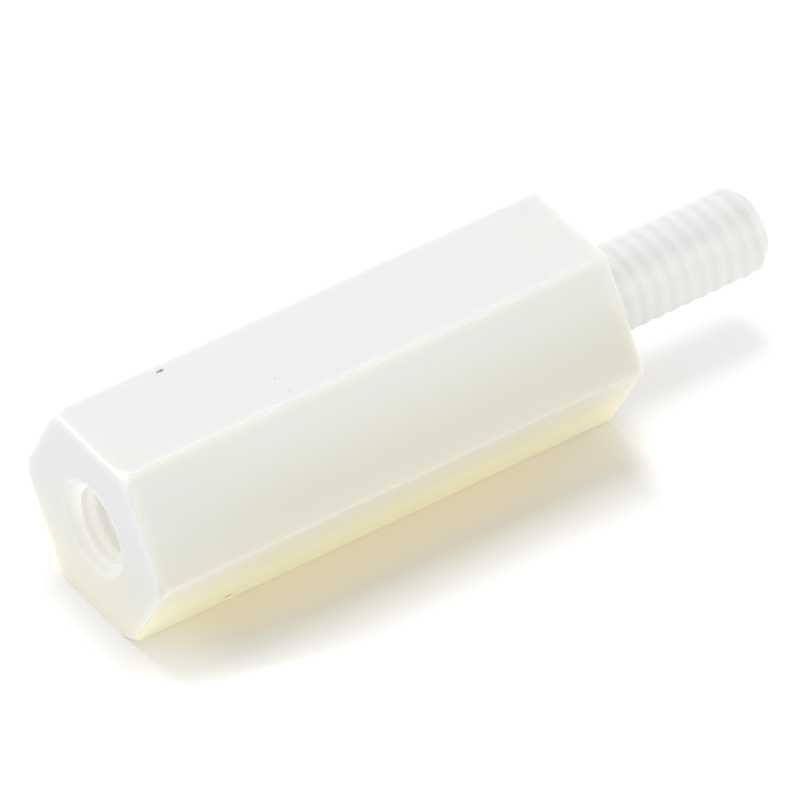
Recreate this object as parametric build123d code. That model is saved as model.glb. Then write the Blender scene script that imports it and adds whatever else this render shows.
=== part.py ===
from build123d import *
import math
import os

# Male-female hex standoff, turned from one bar of natural nylon.
# Millimetres. The bar's axis lies along X at half the hexagon's height, so the
# standoff rests on one flat at Z = 0. The tapped end is at -X and the stud at +X.
# The origin is the middle of the footprint, on the surface it lies on.

# --- driving dimensions -------------------------------------------------------
ACROSS_FLATS = 9.525          # 3/8 in hexagon
BODY_LENGTH = 25.4            # 1 in between the seating faces
EDGE_RADIUS = 0.12            # the six long edges of the bar, slightly dulled

THREAD_MAJOR_D = 4.166        # No. 8 coarse thread, 32 to the inch
THREAD_MINOR_D = 3.45         # tap drill
STUD_LENGTH = 9.525           # 3/8 in
STUD_TIP_CHAMFER = 0.50       # 45 degrees, down to the thread's root

HOLE_DEPTH = 11.10            # full diameter, from the tapped end's face
HOLE_MOUTH_D = 4.60           # 90 degree countersink, a little over the major diameter
DRILL_POINT_ANGLE = 118.0     # the cone a drill leaves at the bottom

CORNER_CIRCLE_D = 10.40       # the tapped end's corners are turned off outside this circle
CORNER_SETBACK = 0.42         # how far back along the bar the turning reaches on a corner

# --- derived ------------------------------------------------------------------
CORNER_R = ACROSS_FLATS / math.sqrt(3)          # centre to a sharp corner
HALF = (BODY_LENGTH + STUD_LENGTH) / 2
X_TAPPED = -HALF
X_SHOULDER = X_TAPPED + BODY_LENGTH
X_TIP = HALF
AXIS_Z = ACROSS_FLATS / 2

STUD_R = THREAD_MAJOR_D / 2
HOLE_R = THREAD_MINOR_D / 2
MOUTH_R = HOLE_MOUTH_D / 2
MOUTH_DEPTH = MOUTH_R - HOLE_R
POINT_DEPTH = HOLE_R / math.tan(math.radians(DRILL_POINT_ANGLE / 2))


def turned(points):
    """A solid turned about the bar's axis from (distance along X, radius) points."""
    face = make_face(Polyline([(x, 0, AXIS_Z + r) for x, r in points], close=True).edges())
    return revolve(face, Axis((0, 0, AXIS_Z), (1, 0, 0)), 360)


# --- hexagonal bar ------------------------------------------------------------
end_plane = Plane(origin=(X_TAPPED, 0, AXIS_Z), x_dir=(0, 1, 0), z_dir=(1, 0, 0))
bar = extrude(end_plane * RegularPolygon(ACROSS_FLATS / 2, 6, major_radius=False), BODY_LENGTH)
bar = fillet(bar.edges().filter_by(Axis.X), EDGE_RADIUS)

# The turning that takes the corners off the tapped end. Its slope carries on past
# the corners, so that only they are touched.
circle_r = CORNER_CIRCLE_D / 2
slope = CORNER_SETBACK / (CORNER_R - circle_r)
beyond = CORNER_R + 0.5
corner_turning = turned([
    (X_TAPPED, 0.0),
    (X_TAPPED, circle_r),
    (X_TAPPED + (beyond - circle_r) * slope, beyond),
    (X_SHOULDER, beyond),
    (X_SHOULDER, 0.0),
])
body = bar & corner_turning

# --- stud, at its crest diameter ----------------------------------------------
# It starts a little inside the bar so that the two join cleanly.
stud = turned([
    (X_SHOULDER - 1.0, 0.0),
    (X_SHOULDER - 1.0, STUD_R),
    (X_TIP - STUD_TIP_CHAMFER, STUD_R),
    (X_TIP, STUD_R - STUD_TIP_CHAMFER),
    (X_TIP, 0.0),
])

# --- tapped hole, at its root diameter ----------------------------------------
hole = turned([
    (X_TAPPED - 1.0, 0.0),
    (X_TAPPED - 1.0, MOUTH_R + 1.0),
    (X_TAPPED + MOUTH_DEPTH, HOLE_R),
    (X_TAPPED + HOLE_DEPTH, HOLE_R),
    (X_TAPPED + HOLE_DEPTH + POINT_DEPTH, 0.0),
])

hex_standoff = (body + stud) - hole
hex_standoff = hex_standoff.solids()[0] if len(hex_standoff.solids()) == 1 else hex_standoff

box = hex_standoff.bounding_box()
print("solids", len(hex_standoff.solids()), "volume mm3", round(hex_standoff.volume, 2))
print("box", [round(v, 4) for v in (*box.min, *box.max)])

os.makedirs("parts", exist_ok=True)
export_step(hex_standoff, "parts/hex_standoff.step")
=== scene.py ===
import math

import bpy
import numpy as np
from mathutils import Matrix, Vector


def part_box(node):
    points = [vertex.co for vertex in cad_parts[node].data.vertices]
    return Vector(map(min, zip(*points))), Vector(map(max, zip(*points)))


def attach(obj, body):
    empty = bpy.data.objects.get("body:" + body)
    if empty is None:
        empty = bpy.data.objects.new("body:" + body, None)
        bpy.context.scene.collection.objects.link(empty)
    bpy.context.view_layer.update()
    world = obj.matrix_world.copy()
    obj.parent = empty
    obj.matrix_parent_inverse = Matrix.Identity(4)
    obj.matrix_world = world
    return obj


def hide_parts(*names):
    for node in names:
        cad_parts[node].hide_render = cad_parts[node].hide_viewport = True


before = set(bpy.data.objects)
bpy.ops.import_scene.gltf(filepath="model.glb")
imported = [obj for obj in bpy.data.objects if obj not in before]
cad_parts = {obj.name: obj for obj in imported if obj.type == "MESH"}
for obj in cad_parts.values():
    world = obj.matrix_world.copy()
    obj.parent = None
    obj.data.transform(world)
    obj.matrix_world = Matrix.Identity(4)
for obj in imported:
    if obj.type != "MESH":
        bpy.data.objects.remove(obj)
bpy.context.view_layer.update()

MM = 0.001

# ------------------------------------------------------------------ dimensions (mm)
lo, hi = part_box("hex_standoff")
X_TAPPED, X_TIP = lo.x / MM, hi.x / MM
AF = (hi.z - lo.z) / MM                       # across flats
AXIS_Z = (hi.z + lo.z) / 2 / MM
BODY_LENGTH = 25.4
X_SHOULDER = X_TAPPED + BODY_LENGTH
CREST_R = 4.166 / 2                           # male thread crest
HOLE_R = 3.45 / 2                             # female thread crest
PITCH = 25.4 / 32
MALE_DEPTH = 0.060                            # crest to root, with soft crests and roots
FEMALE_DEPTH = 0.16
MOUTH_R = 2.30
HOLE_DEPTH = 11.10
POINT_DEPTH = HOLE_R / math.tan(math.radians(59))
EDGE_R = 0.09                                 # long edges
CORNER_R = AF / math.sqrt(3)
CIRCLE_R = 5.20                               # the tapped end's corners are turned off outside this
SLOPE = 0.42 / (CORNER_R - CIRCLE_R)
NEAR_BEVEL = 0.13
FAR_BEVEL = 0.05


# ------------------------------------------------------------------ small deterministic noise
def hashed(i, seed):
    i = np.asarray(i, float)
    v = np.sin(i * 127.1 + seed * 311.7 + 17.3) * 43758.5453
    return v - np.floor(v)


def noise1(x, seed):
    """Smooth value noise in -1..1 along a line."""
    x = np.asarray(x, float)
    i = np.floor(x)
    f = x - i
    f = f * f * (3 - 2 * f)
    return 2 * (hashed(i, seed) * (1 - f) + hashed(i + 1, seed) * f) - 1


def smoothstep(a, b, x):
    t = np.clip((np.asarray(x, float) - a) / (b - a), 0, 1)
    return t * t * (3 - 2 * t)


def smooth_min(a, b, k):
    h = np.clip(0.5 + 0.5 * (b - a) / k, 0, 1)
    return b * (1 - h) + a * h - k * h * (1 - h)


def smooth_max(a, b, k):
    return -smooth_min(-a, -b, k)


# ------------------------------------------------------------------ the hexagon's outline
def outline():
    """Points round the bar's section, with rounded corners: y, z about the axis, and how far each is into its corner (0..1)."""
    a = AF / 2
    ys, zs, ks, cs = [], [], [], []
    centre = (a - EDGE_R) / math.cos(math.radians(30))
    half = (a - EDGE_R) * math.tan(math.radians(30))
    for k in range(6):
        corner = math.radians(60 * k)
        for psi in np.linspace(-30, 30, 7):
            p = math.radians(psi)
            y = centre * math.cos(corner) + EDGE_R * math.cos(corner + p)
            z = centre * math.sin(corner) + EDGE_R * math.sin(corner + p)
            ys.append(y), zs.append(z), ks.append(1 - abs(psi) / 45), cs.append(k)
        normal = math.radians(60 * k + 30)
        for t in np.linspace(1, -1, 17)[1:-1]:
            # from this corner to the next, along the flat
            s = half * math.copysign(abs(t) ** 0.85, t)
            y = a * math.cos(normal) + s * math.sin(normal)
            z = a * math.sin(normal) - s * math.cos(normal)
            ys.append(y), zs.append(z), ks.append(0.0), cs.append(-1)
    return np.array(ys), np.array(zs), np.array(ks), np.array(cs)


HY, HZ, HK, HC = outline()
N = len(HY)
TH = np.arctan2(HZ, HY)
TH = np.where(TH < -1e-9, TH + 2 * math.pi, TH)
TH[0:4] = np.where(TH[0:4] > math.pi, TH[0:4] - 2 * math.pi, TH[0:4])
HR = np.hypot(HY, HZ)
CY, CZ = np.cos(TH), np.sin(TH)


def thread(x, depth, start, sense=1.0):
    """How deep the groove is at x, for every angle round the axis: 0 on the crest, depth at the root. Right-handed."""
    u = ((x - start) / PITCH - sense * TH / (2 * math.pi)) % 1.0
    tri = 1 - np.abs(2 * u - 1)                   # 0 on the crest, 1 at the root
    flat = 0.16
    t = np.clip((tri - flat) / (1 - 1.9 * flat), 0, 1)
    t = 0.25 * t + 0.75 * t * t * (3 - 2 * t)
    return depth * t


# ------------------------------------------------------------------ rings, from the stud's tip to the hole's bottom
rings = []                                        # each (x array, y array, z array)
edge_of = {}                                      # ring number -> how much of an edge each point is (0..1)


def round_ring(x, r):
    r = np.broadcast_to(np.asarray(r, float), (N,))
    rings.append((np.broadcast_to(np.asarray(x, float), (N,)).copy(), r * CY, r * CZ))


# stud's end face
TIP_FACE_R = CREST_R - 0.50
for r in (0.25, 0.6, 0.95, 1.2):
    # a parted-off face is dished a little
    round_ring(X_TIP - 0.03 * (1 - (r / TIP_FACE_R) ** 2), r)


def stud_radius(x):
    worn = 0.006 * noise1(x * 1.7, 3)
    groove = thread(x, MALE_DEPTH, X_SHOULDER)
    run_out = smoothstep(X_SHOULDER + 0.25, X_SHOULDER + 1.15, x)
    r = CREST_R - groove * run_out - 0.004 + worn * 0.5
    r = np.minimum(r, CREST_R)
    cone = CREST_R - 0.50 + (X_TIP - x) * 1.0
    return smooth_min(r, np.full(N, cone), 0.10)


for t in (1.0, 0.6, 0.3, 0.12, 0.0):
    # the small round from the end face to the cone
    ang = math.radians(90 * (1 - t))
    base = stud_radius(X_TIP - 0.10)
    r = base - 0.10 + 0.10 * math.sin(ang) - 0.02 * (1 - math.sin(ang))
    round_ring(X_TIP - 0.10 * (1 - math.cos(ang)), r)

stud_xs = np.linspace(X_TIP - 0.14, X_SHOULDER + 0.16, 168)
for x in stud_xs:
    round_ring(x, stud_radius(x))

# the small fillet at the stud's root, then the shoulder
for ang in np.linspace(0, 90, 5)[1:]:
    p = math.radians(ang)
    round_ring(X_SHOULDER + 0.14 * (1 - math.sin(p)), CREST_R - 0.004 + 0.14 * (1 - math.cos(p)))

root_r = CREST_R + 0.136
for f in (0.18, 0.38, 0.58, 0.78, 0.92):
    oy, oz = HY * (1 - FAR_BEVEL / HR), HZ * (1 - FAR_BEVEL / HR)
    dish = 0.010 * math.sin(math.pi * f)
    rings.append((np.full(N, X_SHOULDER - dish), root_r * CY * (1 - f) + oy * f, root_r * CZ * (1 - f) + oz * f))
for ang in (90, 60, 30, 0):
    p = math.radians(ang)
    back = FAR_BEVEL * (1 - math.sin(p))
    inn = FAR_BEVEL * (1 - math.cos(p))
    k = 1 - inn / HR
    rings.append((np.full(N, X_SHOULDER - back), HY * k, HZ * k))

# hexagon, from the shoulder back to the tapped end
reach = np.maximum(0.0, HR - CIRCLE_R) * SLOPE     # how far each line stops short of the end
x_stop = X_TAPPED + reach + NEAR_BEVEL
n_body = 96
for i in range(1, n_body):
    f = i / n_body
    x = (X_SHOULDER - FAR_BEVEL) * (1 - f) + x_stop * f
    wear = np.zeros(N)
    for c in range(6):
        on = HC == c
        # each long edge is dulled unevenly, with a few small nicks
        xc = x[on]
        edge_dulling_and_painted_shade = 0.012 * (0.5 + 0.5 * noise1(xc * 0.55, 10 + c)) + 0.016 * np.maximum(0, noise1(xc * 1.9, 20 + c)) ** 2
        nick = 0.045 * np.maximum(0, noise1(xc * 3.3, 40 + c) - 0.62)
        wear[on] = (edge_dulling_and_painted_shade + nick) * HK[on]
    # the bar's flats are very slightly hollow and wavy
    flat = (HC < 0) * (0.010 * (1 - (HR - AF / 2) / (CORNER_R - AF / 2)) + 0.0035 * noise1(x * 0.35, 70))
    k = 1 - (wear + flat * 0.55) / HR
    rings.append((x, HY * k, HZ * k))
    edge_of[len(rings) - 1] = smoothstep(0.45, 1.0, HK)


def bspline(points, t):
    """A clamped quadratic B-spline through four control points, each an (x, r) pair of arrays."""
    # knots 0 0 0 .5 1 1 1
    p0, p1, p2, p3 = points
    if t < 0.5:
        u = t / 0.5
        m = tuple((a + b) / 2 for a, b in zip(p1, p2))
        return tuple((1 - u) ** 2 * a + 2 * u * (1 - u) * b + u * u * c for a, b, c in zip(p0, p1, m))
    u = (t - 0.5) / 0.5
    m = tuple((a + b) / 2 for a, b in zip(p1, p2))
    return tuple((1 - u) ** 2 * a + 2 * u * (1 - u) * b + u * u * c for a, b, c in zip(m, p2, p3))


r_end = np.minimum(HR, CIRCLE_R)
turned_edge = [
    (x_stop, HR.copy()),
    (X_TAPPED + reach, HR.copy()),
    (np.full(N, X_TAPPED), r_end.copy()),
    (np.full(N, X_TAPPED), r_end - NEAR_BEVEL),
]
for t in np.linspace(0, 1, 11):
    x, r = bspline(turned_edge, t)
    rings.append((x, r * HY / HR, r * HZ / HR))
    edge_of[len(rings) - 1] = np.full(N, math.exp(-((t - 0.55) / 0.26) ** 2))

# the tapped end's face, with the faint rings of the facing tool, into the countersink
mouth_out = MOUTH_R + 0.05
for f in (0.10, 0.24, 0.38, 0.52, 0.66, 0.80, 0.92, 1.0):
    r = (r_end - NEAR_BEVEL) * (1 - f) + mouth_out * f
    rings.append((np.full(N, X_TAPPED) + 0.006 * math.sin(math.pi * f), r * CY, r * CZ))
for d, r in ((0.012, MOUTH_R + 0.012), (0.04, MOUTH_R - 0.03)):
    round_ring(X_TAPPED + d, r)


def hole_radius(x):
    depth_in = x - X_TAPPED
    fade = 1 - smoothstep(HOLE_DEPTH - 2.2, HOLE_DEPTH - 1.2, depth_in)
    r = HOLE_R + FEMALE_DEPTH * fade - thread(x, FEMALE_DEPTH, X_TAPPED) * fade
    cone = np.full(N, MOUTH_R - depth_in)
    return smooth_max(r, cone, 0.06)


hole_xs = np.linspace(X_TAPPED + 0.09, X_TAPPED + HOLE_DEPTH, 190)
for x in hole_xs:
    round_ring(x, hole_radius(x))
for f in (0.25, 0.5, 0.75, 0.92):
    round_ring(X_TAPPED + HOLE_DEPTH + POINT_DEPTH * f, HOLE_R * (1 - f))


# ------------------------------------------------------------------ mesh
def build_mesh(name):
    co = []
    for x, y, z in rings:
        co.append(np.stack([x, y, z + AXIS_Z], 1))
    co = np.concatenate(co) * MM
    n_rings = len(rings)
    tip = len(co)
    bottom = tip + 1
    co = np.concatenate([co, [[(X_TIP - 0.03) * MM, 0, AXIS_Z * MM], [(X_TAPPED + HOLE_DEPTH + POINT_DEPTH) * MM, 0, AXIS_Z * MM]]])
    j = np.arange(N)
    jn = (j + 1) % N
    faces = []
    for i in range(n_rings - 1):
        a, b = i * N, (i + 1) * N
        faces.append(np.stack([a + j, a + jn, b + jn, b + j], 1))
    quads = np.concatenate(faces)
    mesh = bpy.data.meshes.new(name)
    polys = [tuple(int(v) for v in q) for q in quads]
    polys += [(tip, int(jn[k]), int(j[k])) for k in range(N)]
    last = (n_rings - 1) * N
    polys += [(bottom, int(last + j[k]), int(last + jn[k])) for k in range(N)]
    mesh.from_pydata([tuple(float(c) for c in v) for v in co], [], polys)
    edge = np.zeros(len(co))
    for i, weights in edge_of.items():
        edge[i * N:(i + 1) * N] = weights
    mesh.attributes.new("edge", "FLOAT", "POINT").data.foreach_set("value", edge)
    mesh.validate()
    mesh.update()
    return mesh


mesh = build_mesh("standoff_nylon")
standoff = bpy.data.objects.new("standoff_nylon", mesh)
bpy.context.scene.collection.objects.link(standoff)

# face direction outwards: check with the signed volume
co = np.zeros(len(mesh.vertices) * 3)
mesh.vertices.foreach_get("co", co)
co = co.reshape(-1, 3)
mesh.calc_loop_triangles()
tris = np.zeros(len(mesh.loop_triangles) * 3, int)
mesh.loop_triangles.foreach_get("vertices", tris)
tris = tris.reshape(-1, 3)
volume = np.einsum("ij,ij->i", co[tris[:, 0]], np.cross(co[tris[:, 1]], co[tris[:, 2]])).sum() / 6
if volume < 0:
    mesh.flip_normals()
print("volume mm3", volume * 1e9, "faces", len(mesh.polygons), "tris", len(tris))
for poly in mesh.polygons:
    poly.use_smooth = True


# ------------------------------------------------------------------ nylon
class Nodes:
    """Short ways to add shader nodes."""

    def __init__(self, tree):
        self.t = tree

    def add(self, kind, **props):
        n = self.t.nodes.new(kind)
        for k, v in props.items():
            setattr(n, k, v)
        return n

    def link(self, a, b):
        self.t.links.new(a, b)

    def put(self, socket, value):
        if isinstance(value, bpy.types.NodeSocket):
            self.link(value, socket)
        else:
            socket.default_value = value

    def math(self, op, a, b=0.0, c=0.0, clamp=False):
        n = self.add("ShaderNodeMath", operation=op, use_clamp=clamp)
        self.put(n.inputs[0], a)
        self.put(n.inputs[1], b)
        self.put(n.inputs[2], c)
        return n.outputs[0]

    def noise(self, vector, scale, detail=2.0, rough=0.5, distortion=0.0):
        n = self.add("ShaderNodeTexNoise")
        self.put(n.inputs["Vector"], vector)
        n.inputs["Scale"].default_value = scale
        n.inputs["Detail"].default_value = detail
        n.inputs["Roughness"].default_value = rough
        n.inputs["Distortion"].default_value = distortion
        return n.outputs[0]

    def span(self, value, a, b, c=0.0, d=1.0, smooth=True):
        n = self.add("ShaderNodeMapRange", interpolation_type="SMOOTHSTEP" if smooth else "LINEAR")
        self.put(n.inputs[0], value)
        n.inputs[1].default_value = a
        n.inputs[2].default_value = b
        n.inputs[3].default_value = c
        n.inputs[4].default_value = d
        return n.outputs[0]

    def mix(self, factor, a, b, blend="MIX"):
        n = self.add("ShaderNodeMix", data_type="RGBA", blend_type=blend)
        self.put(n.inputs[0], factor)
        self.put(n.inputs[6], a)
        self.put(n.inputs[7], b)
        return n.outputs[2]

    def stretch(self, vector, scale):
        n = self.add("ShaderNodeVectorMath", operation="MULTIPLY")
        self.put(n.inputs[0], vector)
        n.inputs[1].default_value = scale
        return n.outputs[0]

    def distance(self, vector, point):
        n = self.add("ShaderNodeVectorMath", operation="DISTANCE")
        self.put(n.inputs[0], vector)
        n.inputs[1].default_value = point
        return n.outputs["Value"]


def nylon():
    mat = bpy.data.materials.new("natural_nylon")
    mat.use_nodes = True
    g = Nodes(mat.node_tree)
    g.t.nodes.clear()
    out = g.add("ShaderNodeOutputMaterial")
    p = g.add("ShaderNodeBsdfPrincipled")
    g.link(p.outputs[0], out.inputs["Surface"])
    where = g.add("ShaderNodeTexCoord").outputs["Object"]
    apart = g.add("ShaderNodeSeparateXYZ")
    g.link(where, apart.inputs[0])
    X, Y, Z = apart.outputs

    # painted light and shade by height: thick nylon is painted whiter where light first meets it and honey-coloured,
    # brightest in the bottom band, where it has come through; the top face is painted darker and neutral
    high = (0.680, 0.688, 0.692, 1)
    upper = (0.812, 0.822, 0.785, 1)
    middle = (0.752, 0.750, 0.645, 1)
    low = (0.985, 0.945, 0.700, 1)
    base = g.mix(g.span(Z, 0.60 * AF * MM, 0.92 * AF * MM), middle, upper)
    base = g.mix(g.span(Z, 0.9900 * AF * MM, 0.9985 * AF * MM), base, high)
    base = g.mix(g.span(Z, 0.10 * AF * MM, 0.52 * AF * MM), low, base)
    # painted light: the upper sides near the tapped end are painted paler
    pale = g.math("MULTIPLY", g.span(X, (X_TAPPED + 6.5) * MM, (X_TAPPED + 0.5) * MM, 0.0, 0.55), g.span(Z, 0.40 * AF * MM, 0.75 * AF * MM))
    base = g.mix(g.math("MULTIPLY", pale, g.span(Z, 0.9985 * AF * MM, 0.9900 * AF * MM)), base, (0.790, 0.800, 0.790, 1))
    # the thin stud and the end where light comes in from all round get colours of their own, close to neutral, with
    # painted light and shade by height: the stud darker on top, the end face cooler above and warmer below
    base = g.mix(g.span(X, (X_SHOULDER - 0.4) * MM, (X_SHOULDER + 0.4) * MM), base, g.mix(g.span(Z, 5.8 * MM, 6.75 * MM), g.mix(g.span(Z, 3.4 * MM, 5.2 * MM), (0.778, 0.778, 0.768, 1), (0.838, 0.838, 0.828, 1)), (0.665, 0.670, 0.666, 1)))
    base = g.mix(g.span(X, (X_TAPPED + 0.30) * MM, X_TAPPED * MM, 0.0, 0.90), base, g.mix(g.span(Z, 0.25 * AF * MM, 0.65 * AF * MM), (0.745, 0.750, 0.690, 1), (0.705, 0.715, 0.735, 1)))

    # painted shade: the stud's last part towards its tip is painted a little darker
    base = g.mix(g.span(X, (X_TIP - 1.8) * MM, (X_TIP - 0.5) * MM, 0.0, 0.9), base, (0.96, 0.965, 0.965, 1), "MULTIPLY")

    # cloudy variation inside the plastic
    cloud = g.noise(g.stretch(where, (0.45, 1.0, 1.0)), 260.0, 3.0, 0.55, 0.4)
    base = g.mix(g.span(cloud, 0.35, 0.7, 0.0, 0.10), base, (0.84, 0.80, 0.64, 1))
    streak = g.noise(g.stretch(where, (0.05, 1.0, 1.0)), 1500.0, 2.0, 0.6)
    base = g.mix(g.span(streak, 0.40, 0.75, 0.0, 0.05), base, (0.70, 0.69, 0.60, 1))

    # painted light: the hole's wall is painted paler, as if lit from all sides
    off_axis = g.math("SQRT", g.math("ADD", g.math("POWER", Y, 2.0), g.math("POWER", g.math("SUBTRACT", Z, AXIS_Z * MM), 2.0)))
    inside = g.span(off_axis, 2.20 * MM, 2.42 * MM, 1.0, 0.0)
    along = g.math("SUBTRACT", X, X_TAPPED * MM)
    inside = g.math("MULTIPLY", inside, g.span(along, 13.5 * MM, 12.5 * MM, 0.0, 1.0))
    base = g.mix(g.math("MULTIPLY", inside, g.span(along, 0.02 * MM, 0.20 * MM)), base, (0.770, 0.772, 0.750, 1))

    # painted highlights: the top edge of the tapped end, and broken traces along the upper long edges, are painted near
    # white
    edge = g.add("ShaderNodeAttribute", attribute_name="edge").outputs["Fac"]
    breaks = g.span(g.noise(g.stretch(where, (1.0, 0.2, 0.2)), 900.0, 2.0, 0.6), 0.40, 0.64)
    long_edge = g.math("MULTIPLY", g.math("MULTIPLY", edge, breaks), g.span(Z, 0.93 * AF * MM, 0.98 * AF * MM, 0.0, 0.3))
    end_edge = g.math("MULTIPLY", g.math("POWER", edge, 4.0), g.span(Z, 0.965 * AF * MM, 0.985 * AF * MM, 0.0, 0.75))
    end_edge = g.math("MULTIPLY", end_edge, g.span(along, 0.6 * MM, 0.3 * MM, 0.0, 1.0))
    painted_edge_highlight = g.math("MAXIMUM", long_edge, end_edge)
    # painted shade: the long edges below the top face, and the tapped end's edge below its top, are painted darker so
    # they show no light lines
    edge_dulling_and_painted_shade = g.math("MULTIPLY", g.math("MULTIPLY", edge, g.span(along, 0.6 * MM, 1.2 * MM)), g.span(Z, 0.94 * AF * MM, 0.90 * AF * MM, 0.0, 0.85))
    base = g.mix(edge_dulling_and_painted_shade, base, (0.80, 0.80, 0.78, 1), "MULTIPLY")
    turned = g.math("MULTIPLY", g.math("MULTIPLY", edge, g.span(along, 0.6 * MM, 0.3 * MM)), g.span(Z, 0.95 * AF * MM, 0.90 * AF * MM))
    base = g.mix(turned, base, (0.91, 0.91, 0.90, 1), "MULTIPLY")
    base = g.mix(painted_edge_highlight, base, (0.97, 0.97, 0.97, 1))

    # specks of dirt
    for point, radius, squash in (
        ((-12.19, 2.28, 9.525), 0.12, 0.42), ((-8.44, -1.09, 9.525), 0.045, 1.0), ((-8.36, -2.15, 9.525), 0.05, 1.0),
        ((-12.69, -3.10, 0.61), 0.15, 0.5), ((-12.35, -3.04, 0.50), 0.07, 1.0),
    ):
        offset = g.add("ShaderNodeVectorMath", operation="SUBTRACT")
        g.link(where, offset.inputs[0])
        offset.inputs[1].default_value = [v * MM for v in point]
        far = g.distance(g.stretch(offset.outputs[0], (squash, 1.0, 1.0)), (0, 0, 0))
        rough = g.math("MULTIPLY", g.noise(where, 9000.0, 2.0, 0.6), radius * MM)
        speck = g.span(g.math("ADD", far, rough), radius * 1.0 * MM, radius * 1.35 * MM, 0.85, 0.0)
        base = g.mix(speck, base, (0.20, 0.19, 0.17, 1))

    g.put(p.inputs["Base Color"], base)
    p.inputs["Subsurface Weight"].default_value = 1.0
    p.inputs["Subsurface Radius"].default_value = (1.0, 0.90, 0.70)
    p.inputs["Subsurface Scale"].default_value = 0.0007
    p.inputs["IOR"].default_value = 1.53

    # painted light: an emission in the hole stands in for light that has come through the wall and fills it, and a
    # faint warm emission glows along the bottom below 3.4 mm
    inside = g.math("MULTIPLY", inside, g.span(along, 0.03 * MM, 0.60 * MM, 0.25, 1.0))
    g.put(p.inputs["Emission Color"], g.mix(inside, g.mix(g.span(Z, 0.0, 3.4 * MM), (0.105, 0.088, 0.052, 1), (0, 0, 0, 1)), (0.186, 0.180, 0.160, 1)))
    p.inputs["Emission Strength"].default_value = 1.0

    fine = g.noise(g.stretch(where, (0.25, 1.0, 1.0)), 5200.0, 3.0, 0.6)
    rough = g.span(fine, 0.3, 0.7, 0.32, 0.42)
    rough = g.math("ADD", rough, g.span(X, X_SHOULDER * MM, (X_SHOULDER + 0.5) * MM, 0.0, 0.24))
    g.put(p.inputs["Roughness"], g.math("SUBTRACT", rough, g.math("MULTIPLY", painted_edge_highlight, 0.12)))
    return mat


standoff.data.materials.append(nylon())
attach(standoff, "root")
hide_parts("hex_standoff")


# ------------------------------------------------------------------ floor
def floor_material():
    mat = bpy.data.materials.new("floor_white")
    mat.use_nodes = True
    g = Nodes(mat.node_tree)
    p = g.t.nodes["Principled BSDF"]
    where = g.add("ShaderNodeTexCoord").outputs["Object"]
    apart = g.add("ShaderNodeSeparateXYZ")
    g.link(where, apart.inputs[0])
    X, Y, _ = apart.outputs
    # distance from the standoff's footprint
    cx = (X_TAPPED + X_SHOULDER) / 2 * MM
    dx = g.math("MAXIMUM", g.math("SUBTRACT", g.math("ABSOLUTE", g.math("SUBTRACT", X, cx)), BODY_LENGTH / 2 * MM), 0.0)
    dy = g.math("MAXIMUM", g.math("SUBTRACT", g.math("ABSOLUTE", Y), 2.75 * MM), 0.0)
    away = g.math("SQRT", g.math("ADD", g.math("MULTIPLY", dx, dx), g.math("MULTIPLY", dy, dy)))
    # painted shadow: on the side away from the lamp the floor's colour is darkened and warmed, standing in for the
    # shadow with light that has come down through the nylon
    out = g.math("SUBTRACT", g.math("MULTIPLY", Y, -1.0), 2.75 * MM)
    out = g.math("MULTIPLY", out, g.span(X, (X_TAPPED + 1.0) * MM, (X_TAPPED + 9.0) * MM, 1.45, 1.0))
    ramp = g.add("ShaderNodeValToRGB")
    g.link(g.math("DIVIDE", out, 0.008, clamp=True), ramp.inputs[0])
    stops = (
        (0.2, (0.72, 0.64, 0.46)), (1.1, (0.69, 0.61, 0.445)), (2.2, (0.65, 0.585, 0.45)), (2.8, (0.62, 0.565, 0.47)),
        (3.6, (0.62, 0.61, 0.53)), (4.7, (0.64, 0.63, 0.61)), (5.7, (0.69, 0.68, 0.68)), (7.6, (0.95, 0.95, 0.95)),
    )
    while len(ramp.color_ramp.elements) < len(stops):
        ramp.color_ramp.elements.new(0.5)
    for element, (at, colour) in zip(ramp.color_ramp.elements, stops):
        element.position = at / 8
        element.color = (*colour, 1)
    # painted shadow beside the body, painted shade round the footprint and past the shoulder by the stud, all mixed
    # into the floor's colour
    under = g.math("MULTIPLY", g.span(X, (X_TAPPED - 0.5) * MM, (X_TAPPED + 4.5) * MM), g.span(X, (X_SHOULDER + 1.3) * MM, (X_SHOULDER - 1.8) * MM))
    under = g.math("MULTIPLY", under, g.span(Y, -1.0 * MM, -2.6 * MM))
    floor_painted_shade = g.mix(g.span(away, 0.0, 4.8 * MM), (0.74, 0.735, 0.72, 1), (0.95, 0.95, 0.95, 1))
    floor_painted_shade = g.mix(g.span(X, X_SHOULDER * MM, (X_SHOULDER + 1.5) * MM), floor_painted_shade, (0.840, 0.832, 0.835, 1))
    g.put(p.inputs["Base Color"], g.mix(under, floor_painted_shade, g.mix(g.span(X, 1.0 * MM, 7.0 * MM, 0.0, 0.40), ramp.outputs[0], (0.640, 0.635, 0.620, 1))))
    p.inputs["Emission Color"].default_value = (0.16, 0.16, 0.16, 1)
    p.inputs["Emission Strength"].default_value = 1.0
    p.inputs["Roughness"].default_value = 0.35
    p.inputs["Specular IOR Level"].default_value = 0.3
    return mat


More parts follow.
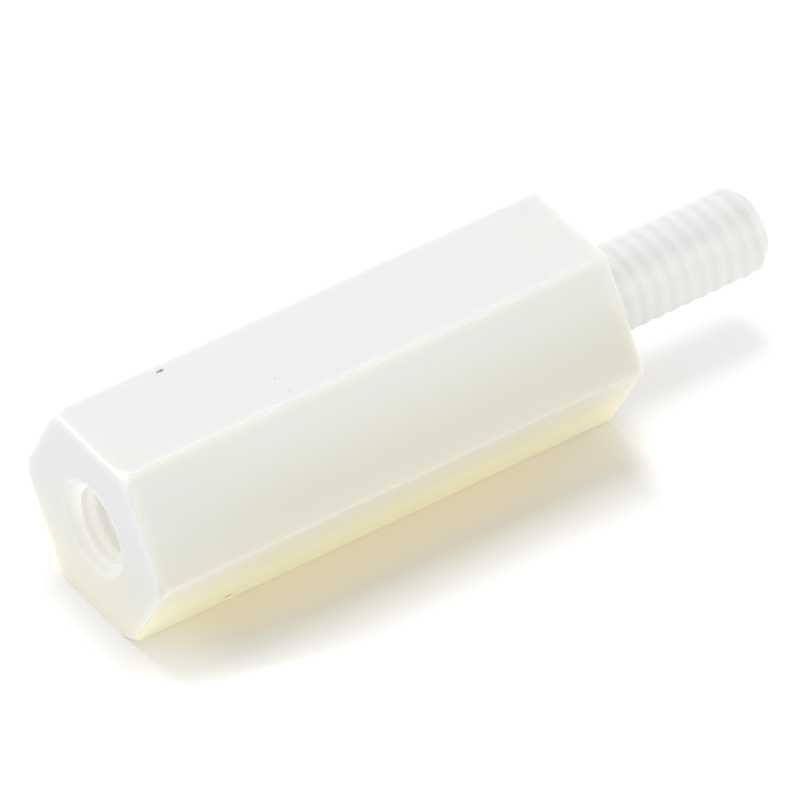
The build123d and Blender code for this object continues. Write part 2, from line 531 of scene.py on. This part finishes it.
def plane(name, half, z=0.0):
    m = bpy.data.meshes.new(name)
    n = 8
    xs = np.linspace(-half, half, n + 1)
    verts = [(float(x), float(y), z) for y in xs for x in xs]
    faces = [(j * (n + 1) + i, j * (n + 1) + i + 1, (j + 1) * (n + 1) + i + 1, (j + 1) * (n + 1) + i) for j in range(n) for i in range(n)]
    m.from_pydata(verts, [], faces)
    m.update()
    o = bpy.data.objects.new(name, m)
    bpy.context.scene.collection.objects.link(o)
    return o


floor = plane("floor", 3.0)
floor.data.materials.append(floor_material())


# ------------------------------------------------------------------ light
def area_light(name, direction, distance, size, energy, colour=(1, 1, 1)):
    light = bpy.data.lights.new(name, "AREA")
    light.shape = "RECTANGLE"
    light.size, light.size_y = size
    light.energy = energy
    light.color = colour
    o = bpy.data.objects.new(name, light)
    d = Vector(direction).normalized()
    o.location = d * distance + Vector((0, 0, AXIS_Z * MM))
    o.rotation_euler = d.to_track_quat("Z", "Y").to_euler()
    bpy.context.scene.collection.objects.link(o)
    return o


area_light("overhead", (0.06, 0.32, 0.94), 0.50, (0.27, 0.27), 1.20)

world = bpy.data.worlds.new("studio")
bpy.context.scene.world = world
world.use_nodes = True
background = world.node_tree.nodes["Background"]
background.inputs["Color"].default_value = (1, 1, 1, 1)
background.inputs["Strength"].default_value = 0.85

bpy.context.scene.view_settings.view_transform = "Standard"
bpy.context.scene.view_settings.look = "None"

# ------------------------------------------------------------------ camera
AZ, EL, ROLL = math.radians(-32.597), math.radians(40.045), math.radians(-2.535)
DISTANCE, LENS = 0.43188, 443.47
back = Vector((math.sin(AZ) * math.cos(EL), -math.cos(AZ) * math.cos(EL), math.sin(EL)))
right = (-back).cross(Vector((0, 0, 1))).normalized()
up = right.cross(-back)
right_r = right * math.cos(ROLL) + up * math.sin(ROLL)
up_r = -right * math.sin(ROLL) + up * math.cos(ROLL)
aim = Vector(((X_TAPPED + BODY_LENGTH / 2) * MM, 0, AXIS_Z * MM)) + right_r * (0.2967 * AF * MM) + up_r * (0.0752 * AF * MM)
camera_data = bpy.data.cameras.new("camera")
camera_data.lens = LENS
camera_data.sensor_width = 36
camera_data.clip_start = 0.01
camera_data.clip_end = 20
camera = bpy.data.objects.new("camera", camera_data)
turn = Matrix((right_r, up_r, back)).transposed()
camera.matrix_world = Matrix.Translation(aim + back * DISTANCE) @ turn.to_4x4()
bpy.context.scene.collection.objects.link(camera)
bpy.context.scene.camera = camera
